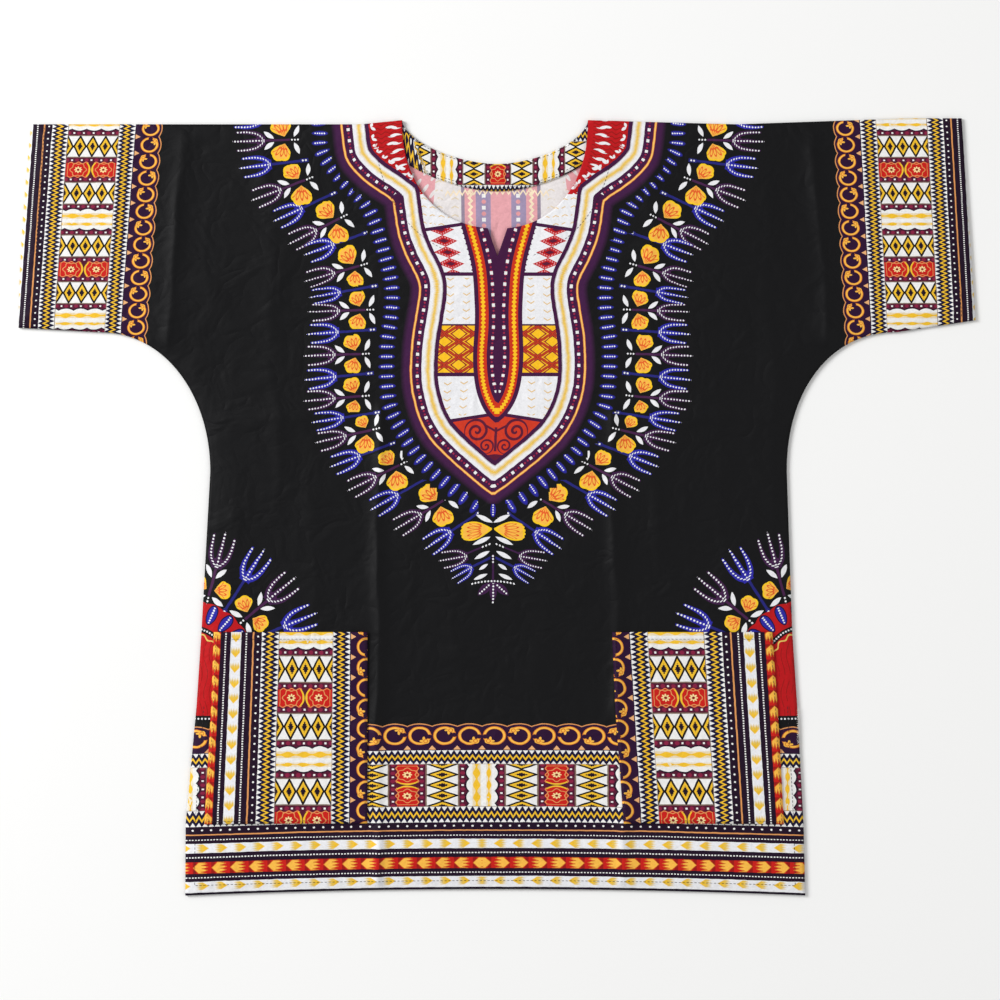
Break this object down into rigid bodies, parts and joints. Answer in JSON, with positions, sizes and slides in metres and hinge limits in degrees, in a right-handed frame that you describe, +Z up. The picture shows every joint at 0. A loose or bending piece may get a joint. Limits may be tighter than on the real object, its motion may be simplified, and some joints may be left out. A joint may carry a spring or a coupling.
{
  "type": "dashiki shirt laid flat",
  "caption": "Loose pull-on dashiki shirt with wide short sleeves, slit round neck, side vents and patch pockets, laid flat face up.",
  "frame": {"origin": "middle of the shirt's outline, on the surface it lies on", "axes": "+X across the shirt towards the sleeve on the viewer's right when it lies face up, +Y from hem to neck, +Z up out of the front"},
  "size_m": [0.958, 0.778, 0.008],
  "materials": {
    "printed_cotton": "matte printed cotton, black ground with a bright figured print",
    "border_print": "matte printed cotton, close border print in white, yellow, maroon and black"
  },
  "bodies": {
    "root": {"back": "printed_cotton", "front": "printed_cotton", "back_neck_facing": "border_print", "pocket_left": "border_print", "pocket_right": "border_print"}
  },
  "joints": []
}
